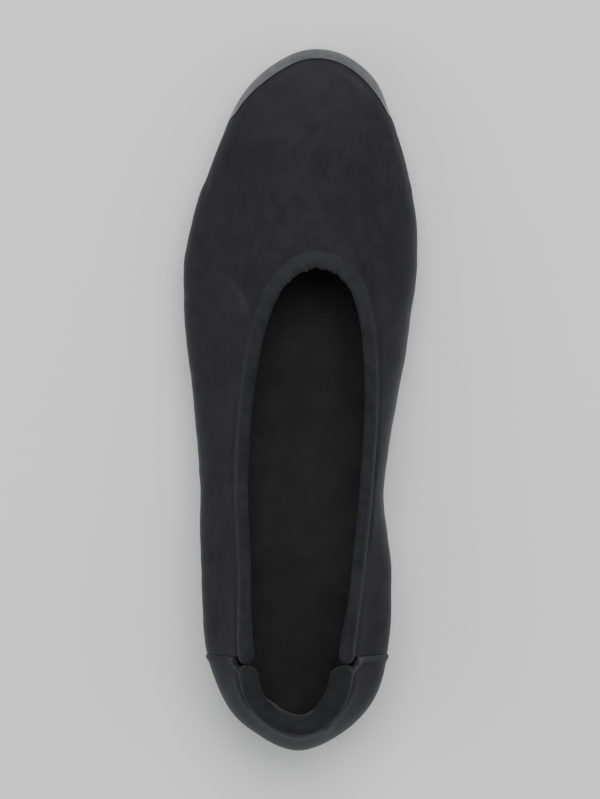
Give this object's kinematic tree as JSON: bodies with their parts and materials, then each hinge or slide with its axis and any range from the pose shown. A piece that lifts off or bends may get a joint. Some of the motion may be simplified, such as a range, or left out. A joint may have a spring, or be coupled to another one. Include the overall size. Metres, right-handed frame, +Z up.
{
  "type": "ballet slipper",
  "caption": "Low suede slip-on flat for a left foot: elasticated topline, padded heel collar, rubber toe rim, thin sole that bends at the ball, low heel.",
  "frame": {"origin": "on the ground, at the middle of the slipper's length and width", "axes": "+X to the medial (big toe) side, +Y to the toe, +Z up"},
  "size_m": [0.0815, 0.2448, 0.0586],
  "materials": {
    "suede": "black suede, fine nap",
    "binding": "black woven tape, matt",
    "lining": "black textile lining",
    "elastic": "knitted elastic",
    "sole_rubber": "black rubber, fine ribs",
    "bumper_rubber": "grey rubber, satin",
    "heel_lift": "black rubber block",
    "filler": "cork filler",
    "steel": "plain steel",
    "rivet_brass": "plain brass",
    "board": "cellulose insole board",
    "foam": "soft latex foam",
    "sock": "black leather sock",
    "stiffener": "thermoplastic stiffener"
  },
  "bodies": {
    "rearfoot": {"quarter_medial": "suede", "quarter_lateral": "suede", "heel_quarter": "suede", "quarter_lining_medial": "lining", "quarter_lining_lateral": "lining", "heel_lining": "lining", "heel_counter": "stiffener", "seam_tape_medial": "elastic", "seam_tape_lateral": "elastic", "heel_collar_pad": "foam", "topline_binding_medial": "binding", "topline_binding_lateral": "binding", "topline_elastic_medial": "elastic", "topline_elastic_lateral": "elastic", "heel_binding": "binding", "heel_elastic": "elastic", "outsole_rear": "sole_rubber", "heel_lift": "heel_lift", "heel_top_piece": "sole_rubber", "waist_filler": "filler", "shank": "steel", "insole_board_rear": "board", "footbed_foam_rear": "foam", "heel_cushion": "foam", "sock_rear": "sock", "shank_rivet_rear": "rivet_brass", "shank_rivet_front": "rivet_brass", "heel_nail_1": "steel", "heel_nail_2": "steel", "heel_nail_3": "steel", "heel_nail_4": "steel"},
    "forefoot": {"vamp": "suede", "vamp_lining": "lining", "toe_puff": "stiffener", "topline_binding_front": "binding", "topline_elastic_front": "elastic", "outsole_forepart": "sole_rubber", "toe_bumper": "bumper_rubber", "forepart_filler": "filler", "insole_board_forepart": "board", "footbed_foam_forepart": "foam", "sock_forepart": "sock"}
  },
  "joints": [
    {"name": "forefoot_flex", "type": "hinge", "parent": "rearfoot", "child": "forefoot", "pos_m": [0, 0.037, 0.0136], "axis": [0.9848, 0.1736, 0], "range_deg": [0, 35], "stiffness_Nm_per_rad": 1.2}
  ]
}
